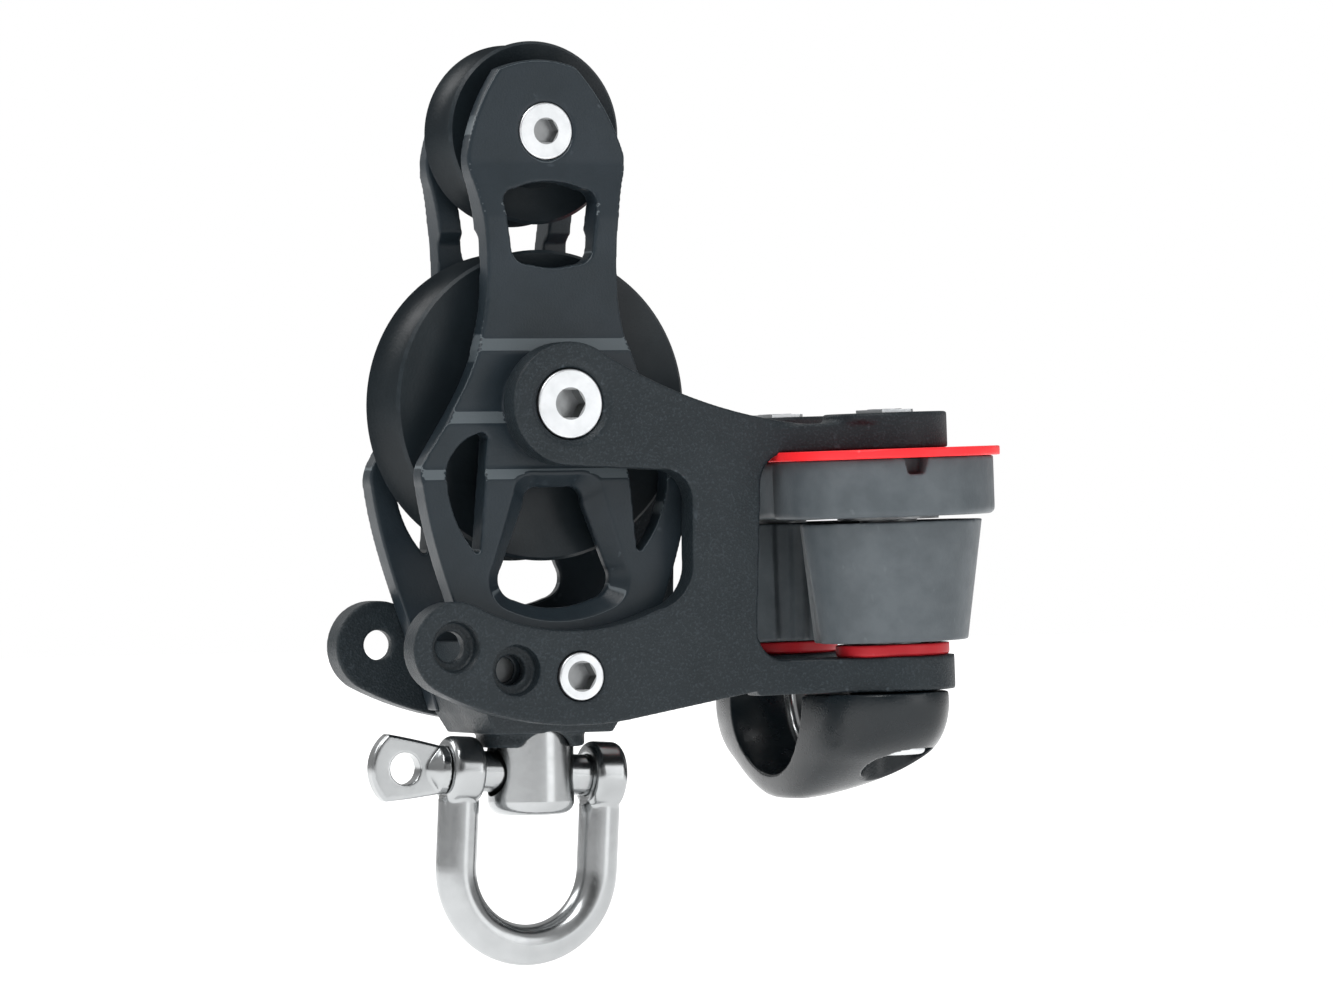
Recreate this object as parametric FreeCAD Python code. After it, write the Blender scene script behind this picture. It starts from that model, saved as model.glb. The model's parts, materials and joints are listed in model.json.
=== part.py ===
import FreeCAD, Part
import math
import os

# Fiddle block on a swivel shackle, with an arm that carries a cam cleat.
# Frame: origin at the centre of the main axle, +Z up through the upper sheave,
# +X towards the cleat, Y along the axles (front is -Y).  Millimetres.

os.makedirs("parts", exist_ok=True)
V = FreeCAD.Vector

# ---- driving dimensions -------------------------------------------------
fit_gap = 0.05                 # radial clearance of a running fit

main_sheave_r = 22.5
main_rim_half = 6.3
main_groove_r = 17.6
main_axle_r = 4.5
small_sheave_r = 13.3
small_rim_half = 5.05
small_groove_r = 9.9
small_axle_r = 3.5
upper_axle_z = 39.5

cheek_top_outer = 9.4          # |Y| of the cheek's face beside the upper sheave
cheek_low_outer = 11.9         # |Y| of its face beside the lower window
cheek_top_inner = 6.4
cheek_low_inner = 8.2
cheek_foot_z = -44.2

arm_inner = 12.9
arm_outer = 17.3
arm_set = 1.2                  # degrees that the arm is turned about the main axle
station_r = 39.1               # radius of the arm's locking holes about the axle
station_step = 14.6
lock_hole_r = 2.2
lock_pocket_r = 3.6

bolt_x = 48.8                  # cleat bolts, in the arm's own frame
bolt_half = 19.0               # half of the standard 38 mm hole spacing
bolt_r = 2.5
lug_end_r = 9.0
upper_lug = (-8.05, -4.0)      # bottom and top of the upper lug
upper_boss_top = -2.75
lower_lug = (-43.2, -38.2)
red_plate = (-9.4, -8.05)
cleat_base = (-17.9, -9.4)
cam_span = (-36.1, -18.6)
collar_span = (-38.2, -36.4)
red_plate_r = 16.6
cleat_base_r = 15.6
cam_bore_r = 6.3
cam_post_r = 4.2
flange_r = 7.9
flange_thick = 0.4

post_r = 6.3
post_bottom = -59.4
pin_z = -53.4
pin_r = 3.0
post_eye_r = 3.6
shackle_lean = 3.5             # degrees that the loose shackle leans in its own plane
shackle_stock_r = 3.0
leg_half = 11.1                # half of the distance between the shackle's legs
bow_drop = 25.0                # pin axis to the centre line of the bow's bottom
ear_r = 5.0
ear_half = 2.5
leg_top = 4.1                  # legs end this far below the pin's axis
wing_half = 1.3                # half thickness of the pin's flat wing


# ---- helpers --------------------------------------------------------------
def save(name, *solids):
    shape = solids[0] if len(solids) == 1 else Part.makeCompound(list(solids))
    shape.exportStep("parts/" + name + ".step")


def cyl_y(r, y0, y1, x=0.0, z=0.0):
    return Part.makeCylinder(r, y1 - y0, V(x, y0, z), V(0, 1, 0))


def cyl_z(r, z0, z1, x=0.0, y=0.0):
    return Part.makeCylinder(r, z1 - z0, V(x, y, z0), V(0, 0, 1))


def cyl_x(r, x0, x1, y=0.0, z=0.0):
    return Part.makeCylinder(r, x1 - x0, V(x0, y, z), V(1, 0, 0))


def mirror_y(shape):
    return shape.mirror(V(0, 0, 0), V(0, 1, 0))


def turned(shape, degrees, centre=V(0, 0, 0)):
    """Turn about Y; positive lifts the +X side."""
    copy = shape.copy()
    copy.rotate(centre, V(0, 1, 0), -degrees)
    return copy


def wire(path, plane):
    """Closed wire from a start point and steps.

    A step is a point for a line, a pair (through, end) for an arc, or a list of
    points for a smooth curve.  plane places a pair of numbers in space.
    """
    at = plane(*path[0])
    edges = []
    for step in path[1:]:
        if isinstance(step, list):
            points = [at] + [plane(*p) for p in step]
            curve = Part.BSplineCurve()
            curve.interpolate(points)
            edges.append(curve.toShape())
            at = points[-1]
        elif isinstance(step[0], tuple):
            through, end = plane(*step[0]), plane(*step[1])
            edges.append(Part.Arc(at, through, end).toShape())
            at = end
        else:
            end = plane(*step)
            edges.append(Part.makeLine(at, end))
            at = end
    start = plane(*path[0])
    if (at - start).Length > 1e-6:
        edges.append(Part.makeLine(at, start))
    return Part.Wire(edges)


def side_prism(path, y0, y1):
    """Outline of (x, z) points, swept along Y."""
    face = Part.Face(wire(path, lambda x, z: V(x, y0, z)))
    return face.extrude(V(0, y1 - y0, 0))


def plan_prism(path, z0, z1):
    """Outline of (x, y) points, swept along Z."""
    face = Part.Face(wire(path, lambda x, y: V(x, y, z0)))
    return face.extrude(V(0, 0, z1 - z0))


def end_prism(path, x0, x1):
    """Outline of (y, z) points, swept along X."""
    face = Part.Face(wire(path, lambda y, z: V(x0, y, z)))
    return face.extrude(V(x1 - x0, 0, 0))


def turned_solid(path, axis, centre=V(0, 0, 0)):
    """Revolve an outline of (radius, along) points about an axis."""
    if axis == "Y":
        face = Part.Face(wire(path, lambda r, a: centre + V(r, a, 0)))
        return face.revolve(centre, V(0, 1, 0), 360)
    if axis == "X":
        face = Part.Face(wire(path, lambda r, a: centre + V(a, 0, r)))
        return face.revolve(centre, V(1, 0, 0), 360)
    face = Part.Face(wire(path, lambda r, a: centre + V(r, 0, a)))
    return face.revolve(centre, V(0, 0, 1), 360)


def hexagon(across_flats, depth, base, axis):
    corner_r = across_flats / math.sqrt(3)
    points = [V(corner_r * math.cos(math.radians(60 * k)),
                corner_r * math.sin(math.radians(60 * k)), 0) for k in range(7)]
    solid = Part.Face(Part.makePolygon(points)).extrude(V(0, 0, depth))
    solid.Placement = FreeCAD.Placement(base, FreeCAD.Rotation(V(0, 0, 1), axis))
    return solid


def softened(shape, radius, wanted):
    """Fillet the edges that wanted(edge) picks."""
    edges = [e for e in shape.Edges if wanted(e)]
    return shape.makeFillet(radius, edges)


def on_plane_y(y):
    def wanted(edge):
        box = edge.BoundBox
        return abs(box.YMin - y) < 1e-4 and abs(box.YMax - y) < 1e-4
    return wanted


def on_plane_z(z):
    def wanted(edge):
        box = edge.BoundBox
        return abs(box.ZMin - z) < 1e-4 and abs(box.ZMax - z) < 1e-4
    return wanted


def ball_ring(ball_r, ring_r, count, centre, axis):
    balls = []
    for k in range(count):
        turn = 2 * math.pi * k / count
        if axis == "Y":
            offset = V(ring_r * math.cos(turn), 0, ring_r * math.sin(turn))
        else:
            offset = V(ring_r * math.cos(turn), ring_r * math.sin(turn), 0)
        balls.append(Part.makeSphere(ball_r, centre + offset))
    return balls


def socket_screw(head_r, head_h, shank_r, length, socket, face_y, x=0.0, z=0.0):
    """Screw on the -Y side: flat head with a hexagon socket, face at face_y."""
    head = cyl_y(head_r, face_y, face_y + head_h, x, z)
    head = softened(head, 0.3, on_plane_y(face_y))
    shank = cyl_y(shank_r, face_y + head_h, face_y + length, x, z)
    recess = hexagon(socket, head_h * 0.8, V(x, face_y, z), V(0, 1, 0))
    return head.fuse(shank).removeSplitter().cut(recess)


def station(index):
    """Locking hole centre in the arm's frame; index 0 is straight below."""
    angle = math.radians(-90 - station_step * index)
    return station_r * math.cos(angle), station_r * math.sin(angle)


def arm_point(x, z):
    """Point of the arm's frame, in the block's frame."""
    a = math.radians(arm_set)
    return x * math.cos(a) - z * math.sin(a), x * math.sin(a) + z * math.cos(a)


# ---- cheeks ---------------------------------------------------------------
def cheek_outline():
    return [(-7.2, 48.5), ((-1.6, 49.8), (4.8, 48.8)),
            ((9.6, 42.3), (12.3, 36.0)), ((12.2, 34.2), (11.6, 32.0)),
            [(10.5, 26.5), (10.1, 20.0), (10.7, 12.5), (13.4, 4.0), (17.0, -2.4),
             (20.3, -7.6)],
            ((21.05, -9.6), (20.9, -11.6)), [(19.3, -19.4), (16.6, -28.0), (13.6, -36.5)],
            (11.2, cheek_foot_z), (-11.2, cheek_foot_z), (-13.6, -36.5),
            [(-16.6, -28.0), (-19.3, -19.4), (-20.9, -11.6)],
            ((-21.05, -9.6), (-20.3, -7.6)),
            [(-17.0, -2.4), (-13.4, 4.0), (-10.7, 12.5), (-10.1, 20.0), (-10.5, 26.5),
             (-11.6, 32.0)],
            ((-12.2, 34.2), (-12.3, 36.0)), ((-10.6, 42.2), (-7.2, 48.5))]


def cheek_section():
    """Section (y, z) of the front cheek: its face swells outward in sloped steps."""
    top, low = cheek_top_outer, cheek_low_outer
    return [(-cheek_top_inner, 52), (-top, 52), (-top, 35.0), (-11.2, 27.0),
            (-10.9, 9.8), (-11.6, 7.5), (-11.1, -0.7), (-11.8, -2.9), (-11.3, -8.9),
            (-low, -10.9), (-low, -46), (-cheek_low_inner, -46),
            (-cheek_low_inner, 7.0), (-7.7, 8.0), (-7.7, 24.0), (-cheek_top_inner, 25.4)]


lower_window = [(-4.6, -14.2), ((-3.9, -12.3), (-2.0, -11.9)), (2.0, -11.9),
                ((3.9, -12.3), (4.6, -14.2)), (8.2, -23.4),
                ((8.3, -26.6), (6.2, -28.1)), ((0, -29.3), (-6.2, -28.1)),
                ((-8.3, -26.6), (-8.2, -23.4))]
window_dish = [(-7.0, -12.6), ((-5.7, -10.2), (-3.2, -9.7)), (3.2, -9.7),
               ((5.7, -10.2), (7.0, -12.6)), (10.4, -23.0),
               ((10.5, -27.4), (7.8, -29.6)), ((0, -31.2), (-7.8, -29.6)),
               ((-10.5, -27.4), (-10.4, -23.0))]
upper_window = [(-7.2, 28.6), ((-6.9, 30.4), (-5.4, 31.1)), ((0, 32.2), (5.4, 31.1)),
                ((6.9, 30.4), (7.2, 28.6)), (6.4, 23.0), ((5.6, 20.9), (3.6, 20.2)),
                ((0, 19.7), (-3.6, 20.2)), ((-5.6, 20.9), (-6.4, 23.0))]
leaf_slot = [(-11.9, -4.0), ((-11.0, -4.2), (-10.8, -5.2)), (-12.2, -20.6),
             ((-12.7, -21.2), (-13.3, -20.8)), ((-16.4, -15.2), (-17.2, -10.4)),
             ((-15.3, -6.0), (-11.9, -4.0))]


def front_cheek():
    body = side_prism(cheek_outline(), -14, -5).common(end_prism(cheek_section(), -25, 25))
    # A dished surround slopes down to the lower window.
    dish = Part.makeLoft([wire(window_dish, lambda x, z: V(x, -cheek_low_outer, z)),
                          wire(lower_window, lambda x, z: V(x, -9.7, z))], True, True)
    body = body.cut(dish)
    body = body.cut(side_prism(window_dish, -14, -cheek_low_outer))
    for hole in (lower_window, upper_window, leaf_slot):
        body = body.cut(side_prism(hole, -14, -5))
    mirrored = side_prism(leaf_slot, -14, -5).mirror(V(0, 0, 0), V(1, 0, 0))
    body = body.cut(mirrored)
    # Round boss that the arm turns on.
    body = body.fuse(cyl_y(8.0, -arm_inner, -9.0)).removeSplitter()
    body = body.cut(cyl_y(main_axle_r, -14, -5))
    body = body.cut(cyl_y(small_axle_r, -14, -5, 0, upper_axle_z))
    body = body.cut(cyl_y(4.2, -14, -7.6, 0, upper_axle_z))
    lock_x, lock_z = arm_point(*station(0))
    body = body.cut(cyl_y(lock_hole_r, -14, -5, lock_x, lock_z))
    for side in (-1, 1):
        body = body.cut(cyl_y(1.8, -14, -5, side * head_pin_x, head_pin_z))
    return body


head_pin_x, head_pin_z = -arm_point(*station(1))[0], arm_point(*station(1))[1]
cheek = front_cheek()
save("front_cheek", cheek)
save("rear_cheek", mirror_y(cheek))

# ---- head block with the swivel's seat -------------------------------------
seat_z = -46.0                 # shoulder that carries the swivel post's flange
plug_foot = -41.6
chamber_r = 7.5
collar_r = 7.9                # round collar round the post, inside the ears' sweep
collar_z = -47.4
head_bottom = -49.5


def head_block():
    front = [(-12.2, -34.0), (12.2, -34.0), (12.2, -40.0), (10.8, -44.4),
             (9.2, collar_z), (-9.2, collar_z), (-10.8, -44.4), (-12.2, -40.0)]
    side = [(-cheek_low_inner, -34.0), (cheek_low_inner, -34.0),
            (cheek_low_inner, cheek_foot_z), (10.2, cheek_foot_z), (9.2, collar_z),
            (-9.2, collar_z), (-10.2, cheek_foot_z), (-cheek_low_inner, cheek_foot_z)]
    body = side_prism(front, -11, 11).common(end_prism(side, -13, 13))
    body = body.fuse(cyl_z(collar_r, head_bottom, collar_z)).removeSplitter()
    body = softened(body, 0.5, on_plane_z(head_bottom))
    body = body.cut(cyl_z(post_r + fit_gap, head_bottom - 1, -30))
    body = body.cut(cyl_z(chamber_r, seat_z, -30))
    body = body.cut(cyl_y(4.9, -12, 12, 0, -52.0))
    lock_x, lock_z = arm_point(*station(0))
    body = body.cut(cyl_y(2.0, -12, 12, lock_x, lock_z))
    for sign in (-1, 1):
        body = body.cut(cyl_y(1.8, -12, 12, sign * head_pin_x, head_pin_z))
    return body


def head_plug():
    lock_x, lock_z = arm_point(*station(0))
    plug = cyl_z(chamber_r, plug_foot, -34.0)
    for sign in (-1, 1):
        plug = plug.cut(cyl_y(1.8, -12, 12, sign * head_pin_x, head_pin_z))
    return plug.cut(cyl_y(2.0, -12, 12, lock_x, lock_z))


save("head_block", head_block())
save("head_plug", head_plug())
save("swivel_washer", cyl_z(chamber_r - 0.1, seat_z, seat_z + 0.8).cut(
    cyl_z(post_r + 0.2, seat_z - 1, seat_z + 2)))
save("head_rivets", *[cyl_y(1.8, -11.4, 11.4, sign * head_pin_x, head_pin_z)
                      for sign in (-1, 1)])

# ---- axles and their screws -------------------------------------------------
main_screw_face = -16.9
main_screw_head = 3.2
main_screw_shank_r = 2.5
main_axle = cyl_y(main_axle_r, -arm_inner, arm_inner).cut(
    cyl_y(main_screw_shank_r, -14, 14))
upper_screw_face = -9.4
upper_screw_head = 1.8
upper_screw_shank_r = 2.0
upper_axle_end = -upper_screw_face - upper_screw_head
upper_axle = cyl_y(small_axle_r, -upper_axle_end, upper_axle_end, 0, upper_axle_z).cut(
    cyl_y(upper_screw_shank_r, -9, 9, 0, upper_axle_z))
save("main_axle", main_axle)
save("upper_axle", upper_axle)

main_screw = socket_screw(5.0, main_screw_head, main_screw_shank_r, 11.0, 4.0,
                          main_screw_face)
save("main_axle_screws", main_screw, mirror_y(main_screw))
upper_screw = socket_screw(4.15, upper_screw_head, upper_screw_shank_r, 7.0, 3.3,
                           upper_screw_face, 0, upper_axle_z)
save("upper_axle_screws", upper_screw, mirror_y(upper_screw))

lock_x, lock_z = arm_point(*station(0))
lock_screw = socket_screw(3.45, 2.8, 2.0, 14.0, 3.8, -17.7, lock_x, lock_z)
save("lock_screws", lock_screw, mirror_y(lock_screw))


# ---- sheaves ----------------------------------------------------------------
def sheave(radius, rim_half, groove_r, bore_r, hub_r, hub_half, web_half, race_r, race_ball):
    """Sheave about Y: rope groove, dished faces, hub and a ball channel in each face."""
    lip = 0.45
    web_r = (hub_r + radius) / 2
    rim_y = rim_half - lip
    inner, outer = race_r - race_ball - 0.02, race_r + race_ball + 0.02
    floor = hub_half - 1.7 * race_ball - 0.02
    profile = [(bore_r, -hub_half), (inner, -hub_half), (inner, -floor), (outer, -floor),
               (outer, -hub_half), (hub_r, -hub_half), (hub_r + 0.8, -web_half),
               ((web_r, -web_half - 0.35), (radius - lip, -rim_half)), (radius, -rim_y),
               ((groove_r, 0), (radius, rim_y)), (radius - lip, rim_half),
               ((web_r, web_half + 0.35), (hub_r + 0.8, web_half)), (hub_r, hub_half),
               (outer, hub_half), (outer, floor), (inner, floor), (inner, hub_half),
               (bore_r, hub_half)]
    return turned_solid(profile, "Y")


def side_balls(race_r, race_ball, hub_half, count, z):
    y = hub_half - race_ball * 0.7
    rings = [ball_ring(race_ball, race_r, count, V(0, side * y, z), "Y") for side in (-1, 1)]
    return rings[0] + rings[1]


main_sleeve_r = 6.2
main_hub_half = 7.2
main_race = (8.0, 0.8)
main_hub = dict(bore_r=main_sleeve_r + fit_gap, hub_r=9.6, hub_half=main_hub_half, web_half=4.6)
save("main_sheave", sheave(main_sheave_r, main_rim_half, main_groove_r, race_r=main_race[0],
                           race_ball=main_race[1], **main_hub))
save("main_sleeve", cyl_y(main_sleeve_r, -cheek_low_inner, cheek_low_inner).cut(
    cyl_y(main_axle_r, -9, 9)))
save("main_side_balls", *side_balls(*main_race, main_hub_half, 16, 0))

small_sleeve_r = 4.7
small_hub_half = 6.05
small_race = (5.9, 0.6)
small_hub = dict(bore_r=small_sleeve_r + fit_gap, hub_r=7.2, hub_half=small_hub_half,
                 web_half=3.8)
small_sheave = sheave(small_sheave_r, small_rim_half, small_groove_r, race_r=small_race[0],
                      race_ball=small_race[1], **small_hub)
small_sheave.translate(V(0, 0, upper_axle_z))
save("small_sheave", small_sheave)
save("small_sleeve", cyl_y(small_sleeve_r, -cheek_top_inner, cheek_top_inner, 0,
                           upper_axle_z).cut(cyl_y(small_axle_r, -9, 9, 0, upper_axle_z)))
save("small_side_balls", *side_balls(*small_race, small_hub_half, 14, upper_axle_z))

# ---- swivel post ------------------------------------------------------------
flange_r = chamber_r - 0.1
post_profile = [(0, post_bottom), (post_r - 2.0, post_bottom),
                ((post_r - 0.586, post_bottom + 0.586), (post_r, post_bottom + 2.0)),
                (post_r, seat_z + 0.85), (flange_r, seat_z + 0.85),
                (flange_r, plug_foot - 0.15), (0, plug_foot - 0.15)]
post_eye = turned(cyl_x(post_eye_r, -9, 9, 0, pin_z), -shackle_lean, V(0, 0, pin_z))
save("swivel_post", turned_solid(post_profile, "Z").cut(post_eye))

# ---- shackle, built upright at the pin and then leaned -----------------------
bow_centre = pin_z - bow_drop + leg_half


def leaned(shape):
    return turned(shape, -shackle_lean, V(0, 0, pin_z))


def shackle_bow():
    left, right = V(-leg_half, 0, pin_z - leg_top), V(leg_half, 0, pin_z - leg_top)
    left_low, right_low = V(-leg_half, 0, bow_centre), V(leg_half, 0, bow_centre)
    spine = Part.Wire([Part.makeLine(left, left_low),
                       Part.Arc(left_low, V(0, 0, bow_centre - leg_half), right_low).toShape(),
                       Part.makeLine(right_low, right)])
    ring = Part.Wire(Part.makeCircle(shackle_stock_r, left, V(0, 0, 1)))
    bow = spine.makePipeShell([ring], True, False)
    for sign in (-1, 1):
        x = sign * leg_half
        ear = softened(cyl_x(ear_r, x - ear_half, x + ear_half, 0, pin_z), 1.1,
                       lambda e: abs(e.Length - 2 * math.pi * ear_r) < 0.1)
        bow = bow.fuse(ear)
    bow = bow.cut(cyl_x(pin_r + fit_gap, -20, 20, 0, pin_z))
    return bow


def shackle_pin():
    neck_x = -leg_half - ear_half - 0.1
    shank = cyl_x(pin_r, neck_x, leg_half + ear_half + 0.6, 0, pin_z)
    neck = turned_solid([(0, neck_x), (3.6, neck_x), (3.4, neck_x - 1.2),
                         (1.2, neck_x - 3.2), (0, neck_x - 3.2)], "X", V(0, 0, pin_z))
    wing = [(neck_x, pin_z + 3.3), ((-18.2, pin_z + 4.2), (-22.9, pin_z + 4.9)),
            ((-25.2, pin_z), (-22.9, pin_z - 4.9)), ((-18.2, pin_z - 4.2), (neck_x, pin_z - 3.3))]
    paddle = softened(side_prism(wing, -wing_half, wing_half), 0.45,
                      lambda e: on_plane_y(-wing_half)(e) or on_plane_y(wing_half)(e))
    pin = shank.fuse([neck, paddle])
    return pin.cut(cyl_y(2.33, -3, 3, -20.1, pin_z))


save("shackle_bow", leaned(shackle_bow()))
save("shackle_pin", leaned(shackle_pin()))


# ---- cleat arm ---------------------------------------------------------------
def arm_outline():
    hub_r = 8.9
    end_x, end_z = station(2)
    end_r = 6.4
    inner_r, outer_r = 32.5, 46.0
    cap = math.radians(-90 - 2 * station_step)
    far = cap - math.radians(90)
    cap_out = (outer_r * math.cos(cap), outer_r * math.sin(cap))
    cap_in = (inner_r * math.cos(cap), inner_r * math.sin(cap))
    cap_mid = (end_x + end_r * math.cos(far), end_z + end_r * math.sin(far))
    return [(4.2, 7.85), ((18.4, 0.6), (37.0, -4.0)), (37.0, -8.05), (33.8, -8.05),
            ((30.7, -9.4), (29.4, -12.6)), (28.1, -33.6), ((29.4, -36.9), (32.6, -38.2)),
            (37.0, -38.2), (37.0, -43.2), (28.0, -42.5),
            (7.1, -45.75), ((outer_r * math.cos(math.radians(-102)),
                            outer_r * math.sin(math.radians(-102))), cap_out),
            (cap_mid, cap_in), ((0.0, -inner_r), (12.6, -29.95)),
            ((16.9, -27.4), (18.2, -22.6)), (18.5, -14.4),
            ((17.2, -11.2), (14.0, -9.9)), (-0.6, -8.88),
            ((-hub_r, 0), (4.2, 7.85))]


def lug_plan(inner, outer):
    """Plan (x, y) of a lug: it leaves the plate and flares out round its bolt."""
    def on_end(degrees):
        a = math.radians(degrees)
        return bolt_x + lug_end_r * math.cos(a), -bolt_half + lug_end_r * math.sin(a)
    return [(28.0, -inner), (38.0, -inner + 0.9), on_end(105), (on_end(0), on_end(-120)),
            [(40.2, -22.2), (35.8, -18.7), (32.0, -17.55), (28.0, -outer)]]


def front_arm():
    plate = side_prism(arm_outline(), -arm_outer, -arm_inner)
    plan = lug_plan(arm_inner, arm_outer)
    top = plan_prism(plan, *upper_lug)
    boss = cyl_z(lug_end_r, upper_lug[1], upper_boss_top, bolt_x, -bolt_half)
    low = plan_prism(plan, *lower_lug)
    body = plate.fuse([top, boss, low]).removeSplitter()
    body = body.cut(hexagon(8.1, 4, V(bolt_x, -bolt_half, nut_seat), V(0, 0, 1)))
    body = body.cut(cyl_z(bolt_r + 0.1, -50, 0, bolt_x, -bolt_half))
    # Shallow dish and bore for the main axle screw.
    body = body.cut(Part.makeCone(6.1, 5.1, 0.8, V(0, -arm_outer, 0), V(0, 1, 0)))
    body = body.cut(cyl_y(5.1, -18, main_screw_face + main_screw_head))
    body = body.cut(cyl_y(main_screw_shank_r, -18, -12))
    for index in range(3):
        x, z = station(index)
        body = body.cut(cyl_y(lock_hole_r, -18, -12, x, z))
        body = body.cut(cyl_y(lock_pocket_r, -18, -14.9, x, z))
    return body


nut_seat = -5.6
arm = front_arm()
save("front_arm", turned(arm, arm_set))
save("rear_arm", turned(mirror_y(arm), arm_set))


# ---- cleat, in the arm's frame, then turned with it ---------------------------
def stadium(radius, z0, z1):
    body = Part.makeBox(2 * radius, 2 * bolt_half, z1 - z0, V(bolt_x - radius, -bolt_half, z0))
    for side in (-1, 1):
        body = body.fuse(cyl_z(radius, z0, z1, bolt_x, side * bolt_half))
    return body.removeSplitter()


def waisted(body):
    """Scoops both long sides of a cleat plate between its bolts."""
    reach, depth = 19.0, 5.0
    half = body.BoundBox.XLength / 2
    for side in (-1, 1):
        x = bolt_x + side * (half - depth + reach)
        body = body.cut(cyl_z(reach, -30, 0, x, 0))
    return body


def at_bolts(make):
    """The same piece at both bolts; make builds it at the front one."""
    piece = make(bolt_x, -bolt_half)
    return [turned(piece, arm_set), turned(mirror_y(piece), arm_set)]


def red_base_plate():
    plate = waisted(stadium(red_plate_r, *red_plate))
    for side in (-1, 1):
        plate = plate.cut(cyl_z(bolt_r + 0.1, -20, 0, bolt_x, side * bolt_half))
    return plate


spring_pocket = (8.6, 4.2)     # radius and depth of each spring's recess


def grey_base():
    z0, z1 = cleat_base
    body = softened(waisted(stadium(cleat_base_r, z0, z1)), 0.9, on_plane_z(z0))
    for side in (-1, 1):
        y = side * bolt_half
        pocket = cyl_z(spring_pocket[0], z0 - 1, z0 + spring_pocket[1], bolt_x, y)
        body = body.cut(pocket.cut(cyl_z(cam_post_r, z0 - 1, z1, bolt_x, y)))
        body = body.cut(cyl_z(bolt_r + 0.1, -20, 0, bolt_x, y))
        notch = [(bolt_x - 4.3, z1 + 0.1), (bolt_x - 3.7, z1 - 2.4), (bolt_x - 1.3, z1 - 2.4),
                 (bolt_x - 0.7, z1 + 0.1)]
        low, high = sorted((side * (bolt_half + 12.5), side * (bolt_half + 17)))
        body = body.cut(side_prism(notch, low, high))
    return body


def cam_jaw(grow):
    """Front cam's jaw about its axis: a smooth spiral, one flute, then teeth to the nose."""
    steps = [(150, 0), (142, 0), (134, 0), (126, 0), (119, 0), (116, 1.1), (110, 1.1), (107, 0)]
    for tooth in range(6):
        angle = 102 - 7.0 * tooth
        steps += [(angle, 0), (angle - 3.8, 0.8)]
    steps.append((60, 0))
    points = []
    for angle, depth in steps:
        r = 12.6 + 7.0 * (150 - angle) / 90 + grow - depth
        a = math.radians(angle)
        points.append((r * math.cos(a), r * math.sin(a)))
    return points


def cam(x, y):
    """Cam tapering from its base end to its open end, with a ball race bore."""
    z0, z1 = cam_span
    sections = []
    for z, jaw_grow, back_r in ((z1, 0.0, 13.5), (z0, -1.7, 10.9)):
        jaw = [(x + px, y + py) for px, py in cam_jaw(jaw_grow)]
        nose_side = (x + 13.6 + jaw_grow, y + 10.5)
        nose = (x + back_r + 0.4, y + 2.0)
        back = (x - back_r, y + 1.0)
        path = jaw + [(nose_side, nose), ((x + 0.4, y - back_r + 0.4), back)]
        sections.append(wire(path, lambda px, py, z=z: V(px, py, z)))
    body = Part.makeLoft(sections, True, True)
    return body.cut(cyl_z(cam_bore_r, z0 - 1, z1 + 1, x, y))


ball_r = 1.0
cam_ball_ring_r = (cam_post_r + cam_bore_r) / 2


def cam_post(x, y):
    post = cyl_z(cam_post_r, collar_span[0], cleat_base[0], x, y)
    # A thin flange closes the spring's recess, just above the cam.
    flange = cyl_z(flange_r, cleat_base[0] - flange_thick, cleat_base[0], x, y)
    post = post.fuse(flange).removeSplitter()
    return post.cut(cyl_z(bolt_r + 0.1, -50, 0, x, y))


def cam_collar(x, y):
    z0, z1 = collar_span
    collar = cyl_z(8.3, z0, z1, x, y)
    collar = softened(collar, 0.5, on_plane_z(z0))
    return collar.cut(cyl_z(cam_post_r, z0 - 1, z1 + 1, x, y))


def cam_balls(x, y):
    rows = []
    for z in (-23.0, -32.0):
        rows += ball_ring(ball_r, cam_ball_ring_r, 12, V(x, y, z), "Z")
    return Part.makeCompound(rows)


def cam_spring(x, y):
    """Flat spiral spring round the post, inside the base's recess, made of half turns."""
    wire_r, first_r, step, halves = 0.45, 5.3, 0.55, 5
    z = cleat_base[0] + 1.6
    centre, side, r = 0.0, 1, first_r
    start = V(x + first_r, y, z)
    at, edges = start, []
    for _ in range(halves):
        middle = V(x + centre, y + side * r, z)
        end = V(x + centre - side * r, y, z)
        edges.append(Part.Arc(at, middle, end).toShape())
        centre += side * step
        r += step
        side = -side
        at = end
    ring = Part.Wire(Part.makeCircle(wire_r, start, V(0, 1, 0)))
    return Part.Wire(edges).makePipeShell([ring], True, True)


def cleat_bolt(x, y):
    shank = cyl_z(bolt_r, bolt_head_top, -2.2, x, y)
    head = cyl_z(4.25, bolt_head_top - 2.6, bolt_head_top, x, y)
    head = softened(head, 0.8, on_plane_z(bolt_head_top - 2.6))
    head = head.cut(hexagon(3.0, 1.6, V(x, y, bolt_head_top - 2.6), V(0, 0, 1)))
    return shank.fuse(head).removeSplitter()


def cleat_nut(x, y):
    nut = hexagon(8.0, 3.3, V(x, y, nut_seat), V(0, 0, 1))
    return nut.cut(cyl_z(bolt_r, -10, 0, x, y))


bolt_head_top = -50.0
save("cleat_red_plate", turned(red_base_plate(), arm_set))
save("cleat_base", turned(grey_base(), arm_set))
front_cam, rear_cam = at_bolts(cam)
save("front_cam", front_cam)
save("rear_cam", rear_cam)
save("cam_posts", *at_bolts(cam_post))
save("cam_collars", *at_bolts(cam_collar))
front_balls, rear_balls = at_bolts(cam_balls)
save("front_cam_balls", *front_balls.Solids)
save("rear_cam_balls", *rear_balls.Solids)
save("cam_springs", *at_bolts(cam_spring))
save("cleat_bolts", *at_bolts(cleat_bolt))
save("cleat_nuts", *at_bolts(cleat_nut))

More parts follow.
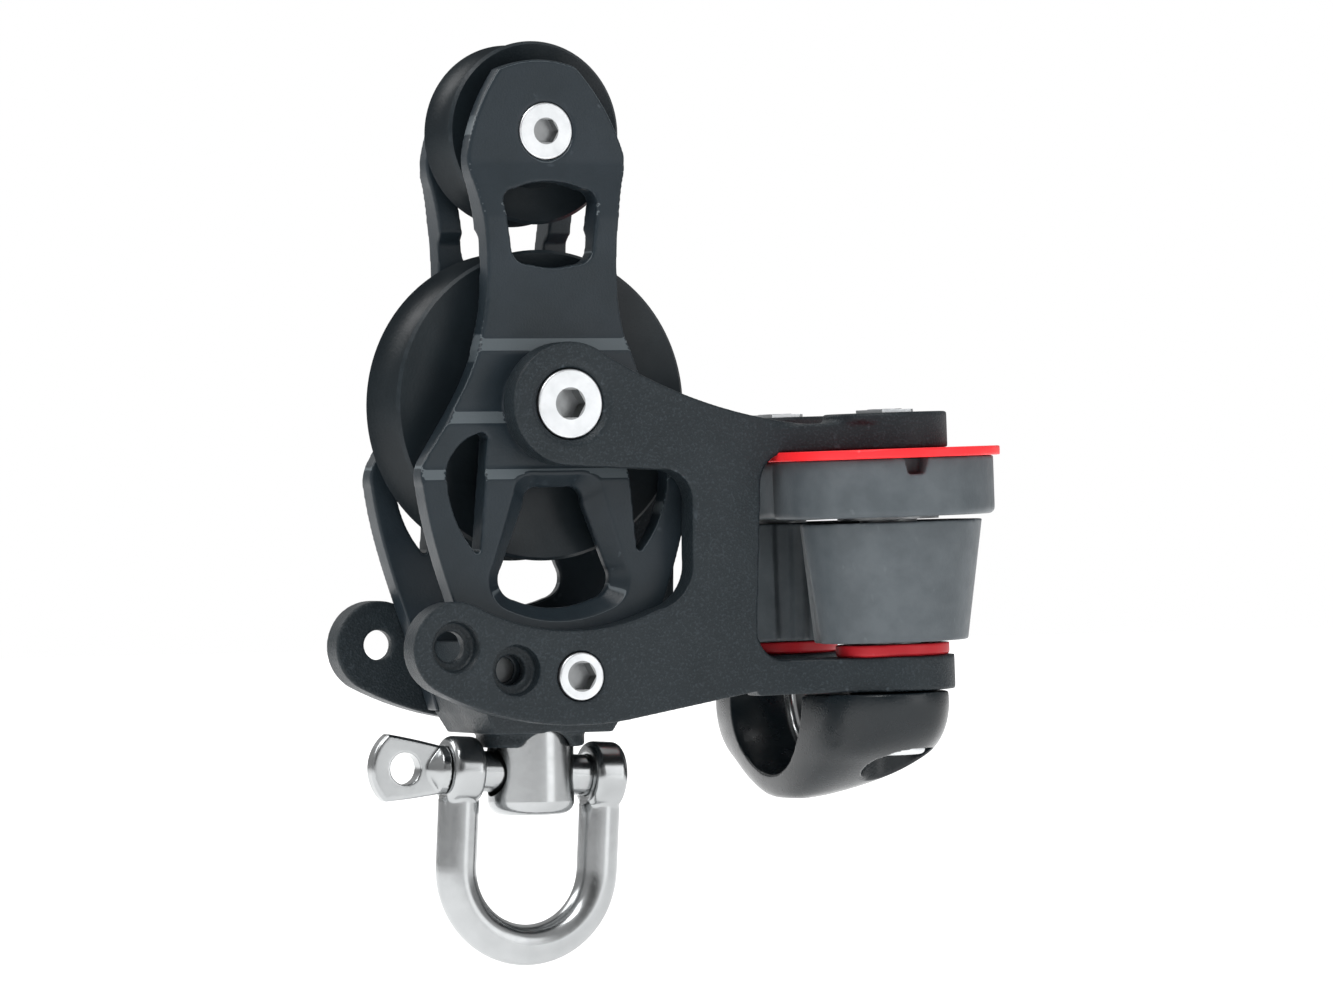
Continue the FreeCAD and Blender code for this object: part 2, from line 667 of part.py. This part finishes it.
# ---- fairlead ------------------------------------------------------------------
# A bell-mouthed body under the lower lugs, in the arm's own frame.
fairlead_top = -43.5
# Plan sections: height, widest x, near and far x, half length, squareness.
fairlead_sections = (
    (-43.5, 47.8, 36.6, 58.1, 28.2, 2.9), (-46.5, 47.8, 36.4, 58.2, 28.0, 2.9),
    (-49.0, 47.8, 36.4, 57.8, 27.0, 2.9), (-51.4, 47.2, 36.5, 57.4, 24.9, 2.8),
    (-53.5, 46.2, 36.8, 56.3, 21.2, 2.7), (-55.7, 44.5, 37.2, 53.3, 16.4, 2.6),
    (-57.5, 42.8, 37.8, 48.8, 11.8, 2.4), (-58.7, 41.0, 38.6, 44.6, 7.0, 2.2),
    (-59.1, 40.6, 39.4, 42.6, 4.0, 2.0))
mouth_z = -43.3                # height of the mouth's axis, which runs along X
throat_x = (44.5, 46.7)
throat_r = 9.5
liner = 0.8


def plan_oval(z, middle_x, near_x, far_x, half, square):
    """Rounded oblong at height z; square is the exponent of its outline."""
    points = []
    for k in range(32):
        turn = 2 * math.pi * (k + 0.5) / 32
        c, s = math.cos(turn), math.sin(turn)
        reach = far_x - middle_x if c > 0 else middle_x - near_x
        points.append(V(middle_x + math.copysign(reach * abs(c) ** (2 / square), c),
                        math.copysign(half * abs(s) ** (2 / square), s), z))
    curve = Part.BSplineCurve()
    curve.interpolate(points, PeriodicFlag=True)
    return Part.Wire([curve.toShape()])


def mouth_bore():
    """Round bore along X: a bell towards the block, a slight cone away from it."""
    near, far = throat_x
    r = throat_r + liner
    profile = [(0, near - 11.4), (r + 5.88, near - 11.4), ((r + 0.65, near - 4.2), (r, near)),
               (r, far), (r + 0.5, far + 13), (0, far + 13)]
    return turned_solid(profile, "X", V(0, 0, mouth_z))


def fairlead():
    body = Part.makeLoft([plan_oval(*row) for row in fairlead_sections], True)
    body = body.cut(mouth_bore())
    for side in (-1, 1):
        y = side * bolt_half
        body = body.fuse(cyl_z(6.0, fairlead_top, lower_lug[0], bolt_x, y))
        body = body.cut(cyl_z(bolt_r + 0.1, -60, -40, bolt_x, y))
        body = body.cut(cyl_z(5.2, -62, bolt_head_top, bolt_x, y))
    return body


def fairlead_liner():
    """Lower half of a ring in the throat, with a crowned inner face."""
    near, far = throat_x
    r = throat_r + liner
    ring = turned_solid([(r, near), (r, far), ((throat_r, (near + far) / 2), (r, near))],
                        "X", V(0, 0, mouth_z))
    return ring.common(Part.makeBox(20, 40, 20, V(near - 5, -20, fairlead_top - 20.3)))


save("fairlead", turned(fairlead(), arm_set))
save("fairlead_liner", turned(fairlead_liner(), arm_set))
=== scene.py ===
import bpy
import json
import math
from mathutils import Vector, Matrix


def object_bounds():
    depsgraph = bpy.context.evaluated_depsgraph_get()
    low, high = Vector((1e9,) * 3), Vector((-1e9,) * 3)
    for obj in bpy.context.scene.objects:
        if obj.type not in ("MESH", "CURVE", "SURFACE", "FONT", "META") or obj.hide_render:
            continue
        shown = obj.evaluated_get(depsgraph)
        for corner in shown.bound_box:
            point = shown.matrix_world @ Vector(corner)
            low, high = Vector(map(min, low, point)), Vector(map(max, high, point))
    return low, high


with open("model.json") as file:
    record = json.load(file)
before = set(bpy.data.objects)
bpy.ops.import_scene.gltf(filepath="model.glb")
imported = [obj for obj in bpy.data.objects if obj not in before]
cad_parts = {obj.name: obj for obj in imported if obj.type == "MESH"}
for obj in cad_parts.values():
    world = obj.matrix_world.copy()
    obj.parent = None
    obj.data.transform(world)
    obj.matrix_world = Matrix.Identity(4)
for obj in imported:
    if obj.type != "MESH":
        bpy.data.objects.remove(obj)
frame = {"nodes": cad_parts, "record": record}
cad_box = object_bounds()
nodes = frame["nodes"]
scene = bpy.context.scene


# ---- materials --------------------------------------------------------------
def srgb(code):
    """Hex colour to linear RGBA."""
    parts = [int(code[k:k + 2], 16) / 255 for k in (0, 2, 4)]
    return [c / 12.92 if c <= 0.04045 else ((c + 0.055) / 1.055) ** 2.4 for c in parts] + [1]


class Nodes:
    """Short way to place and link shader nodes; works in object space metres."""

    def __init__(self, name):
        self.material = bpy.data.materials.new(name)
        self.material.use_nodes = True
        self.tree = self.material.node_tree
        self.shader = self.tree.nodes["Principled BSDF"]
        self.place = self.tree.nodes.new("ShaderNodeTexCoord").outputs["Object"]

    def add(self, kind, links=(), **values):
        node = self.tree.nodes.new(kind)
        for key, value in values.items():
            setattr(node, key, value)
        for socket, source in dict(links).items():
            self.tree.links.new(source, node.inputs[socket])
        return node

    def link(self, source, socket):
        self.tree.links.new(source, self.shader.inputs[socket])

    def noise(self, scale, detail, rough=0.55):
        node = self.add("ShaderNodeTexNoise", {"Vector": self.place})
        node.inputs["Scale"].default_value = scale
        node.inputs["Detail"].default_value = detail
        node.inputs["Roughness"].default_value = rough
        return node.outputs["Fac"]

    def ramp(self, factor, low, high, a, b):
        node = self.add("ShaderNodeMapRange", {"Value": factor}, clamp=True)
        for key, value in zip(("From Min", "From Max", "To Min", "To Max"), (low, high, a, b)):
            node.inputs[key].default_value = value
        return node.outputs[0]

    def mix(self, factor, a, b):
        node = self.add("ShaderNodeMix", {0: factor}, data_type="RGBA")
        for socket, value in ((6, a), (7, b)):
            if isinstance(value, bpy.types.NodeSocket):
                self.tree.links.new(value, node.inputs[socket])
            else:
                node.inputs[socket].default_value = value
        return node.outputs[2]

    def band_highlight_mask(self):
        """Mask for a painted highlight: 1 on faces that lean up by about 17 degrees from upright,
        0 elsewhere.
        """
        coords = self.add("ShaderNodeTexCoord")
        lean = self.add("ShaderNodeSeparateXYZ", {0: coords.outputs["Normal"]}).outputs
        steep = self.ramp(lean["Z"], 0.245, 0.265, 0, 1)
        shallow = self.ramp(lean["Z"], 0.32, 0.36, 1, 0)
        return self.add("ShaderNodeMath", {0: steep, 1: shallow}, operation="MULTIPLY").outputs[0]

    def edges(self):
        """Worn ridges, from the surface's own curvature."""
        return self.ramp(self.add("ShaderNodeNewGeometry").outputs["Pointiness"],
                         0.56, 0.66, 0, 1)

    def bump(self, height, strength, distance):
        node = self.add("ShaderNodeBump", {"Height": height})
        node.inputs["Strength"].default_value = strength
        node.inputs["Distance"].default_value = distance
        self.link(node.outputs[0], "Normal")


def resin(name, dark, light, worn, roughness, spread, grain, depth, blotch=90.0,
          specular=0.22, speck=0.0, band_highlight_colour=None):
    """Moulded resin: mottled colour, uneven gloss, fine moulded grain, worn edges.

    speck is how much the grain also varies the colour; the last argument is the colour of a
    painted highlight on the cheeks' three narrow sloped bands, which lean up towards the light
    from above.
    """
    n = Nodes(name)
    colour = n.mix(n.ramp(n.noise(blotch, 4), 0.35, 0.65, 0, 1), srgb(dark), srgb(light))
    # Painted highlight: faces leaning up get a lighter colour, standing in for the light from
    # above on the sloped bands.
    if band_highlight_colour:
        colour = n.mix(n.band_highlight_mask(), colour, srgb(band_highlight_colour))
    if speck:
        colour = n.mix(n.ramp(n.noise(grain, 1), 0.52, 0.72, 0, speck), colour, srgb(worn))
    wear = n.add("ShaderNodeMath", {0: n.edges(), 1: n.ramp(n.noise(700, 3), 0.4, 0.7, 0, 1)},
                 operation="MULTIPLY").outputs[0]
    n.link(n.mix(wear, colour, srgb(worn)), "Base Color")
    n.link(n.ramp(n.noise(blotch * 2.7, 4), 0.3, 0.7, roughness - spread, roughness + spread),
           "Roughness")
    n.shader.inputs["Specular IOR Level"].default_value = specular
    n.bump(n.noise(grain, 2, 0.5), 0.5, depth)
    return n.material


def steel(name, dark, light, roughness, spread, grain, depth):
    """Stainless steel: slightly cloudy satin polish with a very fine grain."""
    n = Nodes(name)
    n.link(n.mix(n.ramp(n.noise(140, 4), 0.3, 0.7, 0, 1), srgb(dark), srgb(light)),
           "Base Color")
    n.shader.inputs["Metallic"].default_value = 1.0
    n.link(n.ramp(n.noise(grain, 5, 0.65), 0.3, 0.7, roughness - spread, roughness + spread),
           "Roughness")
    n.bump(n.noise(grain, 4, 0.6), 0.35, depth)
    return n.material


def socket_shaded_steel(name, x, z, radius):
    """Screw steel with painted shade: a darker colour over the hexagon socket round the screw's
    axis, parallel to Y.
    """
    n = Nodes(name)
    at = n.add("ShaderNodeSeparateXYZ", {0: n.place}).outputs
    flat = n.add("ShaderNodeCombineXYZ", {"X": at["X"], "Y": at["Z"]}).outputs[0]
    away = n.add("ShaderNodeVectorMath", {0: flat}, operation="DISTANCE")
    away.inputs[1].default_value = (x, z, 0)
    # Painted shade: the colour is darker inside the socket's radius, standing in for the shade
    # down in the recess.
    socket_shade = n.ramp(away.outputs["Value"], radius, radius * 1.01, 1, 0)
    cloudy = n.mix(n.ramp(n.noise(300, 4), 0.3, 0.7, 0, 1), srgb("bfc2c4"), srgb("d0d2d4"))
    n.link(n.mix(socket_shade, cloudy, srgb("7e8081")), "Base Color")
    n.shader.inputs["Metallic"].default_value = 1.0
    n.link(n.ramp(n.noise(1600, 4), 0.3, 0.7, 0.34, 0.46), "Roughness")
    n.bump(n.noise(1600, 3), 0.3, 0.00003)
    return n.material


look = {
    # The cheek's band colour, 4c5357, is a painted highlight on its upward-leaning sloped bands.
    "cheek_resin": resin("cheek_resin", "1a2227", "1f272d", "3a4147", 0.38, 0.04, 3000, 0.00005,
                         band_highlight_colour="4c5357"),
    "grained_resin": resin("grained_resin", "171e22", "1c2327", "3d454b", 0.44, 0.05, 3200,
                           0.00025, speck=0.3),
    "sheave_resin": resin("sheave_resin", "151b1f", "1a2125", "30363b", 0.36, 0.05, 2600,
                          0.00004),
    "grey_resin": resin("grey_resin", "484e52", "51575b", "585e62", 0.42, 0.05, 2600, 0.00004,
                        260),
    "red_resin": resin("red_resin", "e8262c", "f02e34", "f26a6e", 0.40, 0.05, 2000, 0.00002),
    "dark_red_resin": resin("dark_red_resin", "a81c25", "b4222b", "bc444c", 0.40, 0.05, 2000,
                            0.00002),
    "gloss_black_resin": resin("gloss_black_resin", "0b1216", "10171b", "1a2226", 0.27, 0.04,
                               3000, 0.00005, specular=0.32),
    "ball_resin": resin("ball_resin", "c9c6bd", "d8d5cc", "e4e1d9", 0.35, 0.05, 1500, 0.00002),
    "polished_steel": steel("polished_steel", "989a9b", "a5a7a8", 0.22, 0.03, 900, 0.00001),
    "screw_steel": steel("screw_steel", "bfc2c4", "d0d2d4", 0.40, 0.06, 1600, 0.00003),
}
node_slot = {row["node"]: row["material_slot"] for row in frame["record"]["subparts"]}
for name, obj in nodes.items():
    obj.data.materials.clear()
    obj.data.materials.append(look[node_slot[name]])

# Each socketed screw's axis, and the radius of its hexagon's corners.
for name, x, z, radius in (("main_axle_screws", 0, 0, 0.00232),
                           ("upper_axle_screws", 0, 0.0395, 0.00192),
                           ("lock_screws", 0.00082, -0.03909, 0.00221)):
    nodes[name].data.materials[0] = socket_shaded_steel(name + "_steel", x, z, radius)

# The rivets are only seen deep in the middle locking holes; their dark colour is painted shade
# from the depth of the holes, and they are dull.
nodes["head_rivets"].data.materials[0] = steel("shaded_rivet_steel", "3c3e3f", "4a4c4d", 0.34, 0.05,
                                               1600, 0.00003)


# ---- rounded moulded edges -----------------------------------------------------
def rounded(name, cell, passes, keep):
    """Softens a CAD node's edges the way a moulding has them; cell is the mesh size."""
    obj = nodes[name]
    weld = obj.modifiers.new("weld", "WELD")
    weld.merge_threshold = 1e-6
    skin = obj.modifiers.new("skin", "REMESH")
    skin.mode = "VOXEL"
    skin.voxel_size = cell
    skin.use_smooth_shade = True
    soft = obj.modifiers.new("soft", "SMOOTH")
    soft.factor = 0.5
    soft.iterations = passes
    thin = obj.modifiers.new("thin", "DECIMATE")
    thin.ratio = keep


for name, cell, passes, keep in (
        ("front_cheek", 0.00022, 4, 0.45), ("rear_cheek", 0.00022, 4, 0.45),
        ("front_arm", 0.00025, 8, 0.45), ("rear_arm", 0.00025, 8, 0.45),
        ("head_block", 0.00022, 6, 0.5), ("cleat_base", 0.00025, 6, 0.4),
        ("front_cam", 0.00022, 6, 0.4), ("rear_cam", 0.00022, 6, 0.4),
        ("cleat_red_plate", 0.0002, 3, 0.4), ("cam_collars", 0.00018, 3, 0.4),
        ("fairlead", 0.00022, 6, 0.45), ("shackle_bow", 0.00016, 10, 0.45),
        ("shackle_pin", 0.00016, 5, 0.45)):
    rounded(name, cell, passes, keep)


# ---- floor, light, camera ----------------------------------------------------
floor_half = 3.0
floor_drop = 0.012             # floor below the object's lowest point

pale = Nodes("pale_floor")
pale.link(pale.mix(pale.noise(6, 2), srgb("f4f4f4"), srgb("f8f8f8")), "Base Color")
pale.shader.inputs["Roughness"].default_value = 0.9
pale.shader.inputs["Emission Color"].default_value = (1, 1, 1, 1)
pale.shader.inputs["Emission Strength"].default_value = 0.8
sheet = bpy.data.meshes.new("floor")
sheet.from_pydata([(-floor_half, -floor_half, 0), (floor_half, -floor_half, 0),
                   (floor_half, floor_half, 0), (-floor_half, floor_half, 0)],
                  [], [(0, 1, 2, 3)])
sheet.materials.append(pale.material)
floor = bpy.data.objects.new("floor", sheet)
floor.location = (0, 0, cad_box[0][2] - floor_drop)
scene.collection.objects.link(floor)

world = bpy.data.worlds.new("studio")
world.use_nodes = True
sky = world.node_tree
away = sky.nodes.new("ShaderNodeTexCoord")
height = sky.nodes.new("ShaderNodeSeparateXYZ")
sky.links.new(away.outputs["Generated"], height.inputs[0])
band = sky.nodes.new("ShaderNodeValToRGB")
sky.links.new(height.outputs["Z"], band.inputs[0])
# Brightness of the studio by height: Z of the direction, then grey level.
stops = ((0.0, 0.42), (0.18, 0.45), (0.45, 0.55), (1.0, 0.6))
while len(band.color_ramp.elements) < len(stops):
    band.color_ramp.elements.new(0.5)
for stop, (at, level) in zip(band.color_ramp.elements, stops):
    stop.position = at
    stop.color = (level, level, level, 1)
# The studio is darker in front of the object, which gives polished metal its streaks.
facing = sky.nodes.new("ShaderNodeVectorMath")
facing.operation = "DOT_PRODUCT"
sky.links.new(away.outputs["Generated"], facing.inputs[0])
facing.inputs[1].default_value = (-0.406, -0.914, 0.0)      # level, towards the front
shade = sky.nodes.new("ShaderNodeMapRange")
shade.clamp = True
for key, value in (("From Min", 0.78), ("From Max", 0.97), ("To Min", 1.0), ("To Max", 0.3)):
    shade.inputs[key].default_value = value
sky.links.new(facing.outputs["Value"], shade.inputs["Value"])
dimmed = sky.nodes.new("ShaderNodeVectorMath")
dimmed.operation = "SCALE"
sky.links.new(band.outputs[0], dimmed.inputs[0])
sky.links.new(shade.outputs[0], dimmed.inputs["Scale"])
path = sky.nodes.new("ShaderNodeLightPath")
seen = sky.nodes.new("ShaderNodeMix")
seen.data_type = "RGBA"
sky.links.new(path.outputs["Is Camera Ray"], seen.inputs[0])
sky.links.new(dimmed.outputs[0], seen.inputs[6])
seen.inputs[7].default_value = (1, 1, 1, 1)
sky.links.new(seen.outputs[2], sky.nodes["Background"].inputs[0])
scene.world = world
scene.view_settings.view_transform = "Standard"


aim = Vector((0.01, 0, -0.01))      # middle of the object, which every lamp faces


def lamp(name, place, width, tall, power):
    data = bpy.data.lights.new(name, "AREA")
    data.shape = "RECTANGLE"
    data.size, data.size_y, data.energy = width, tall, power
    obj = bpy.data.objects.new(name, data)
    obj.location = place
    obj.rotation_mode = "QUATERNION"
    obj.rotation_quaternion = (aim - Vector(place)).to_track_quat("-Z", "Y")
    scene.collection.objects.link(obj)


lamp("key", (-0.30, -0.35, 0.55), 0.35, 0.35, 3.6)
lamp("fill", (0.35, -0.55, 0.10), 0.25, 0.5, 0.8)
lamp("rim", (-0.35, 0.35, 0.35), 0.4, 0.3, 1.6)

camera_distance = 1.0095
camera_right, camera_down = 0.02037, 0.01398      # offset of the view's centre
azimuth, elevation, roll = (math.radians(d) for d in (-23.978, -0.174, 0.868))
back = Vector((math.sin(azimuth) * math.cos(elevation),
               -math.cos(azimuth) * math.cos(elevation), math.sin(elevation)))
right = Vector((math.cos(azimuth), math.sin(azimuth), 0))
up = back.cross(right)
camera = bpy.data.objects.new("camera", bpy.data.cameras.new("camera"))
camera.data.sensor_width = 36.0
camera.data.lens = 187.4
cam_x = right * math.cos(roll) - up * math.sin(roll)
cam_y = right * math.sin(roll) + up * math.cos(roll)
place = back * camera_distance + right * camera_right - up * camera_down
axes = Matrix((cam_x, cam_y, back)).transposed()
camera.matrix_world = Matrix.Translation(place) @ axes.to_4x4()
camera.data.clip_start, camera.data.clip_end = 0.01, 20.0
scene.collection.objects.link(camera)
scene.camera = camera
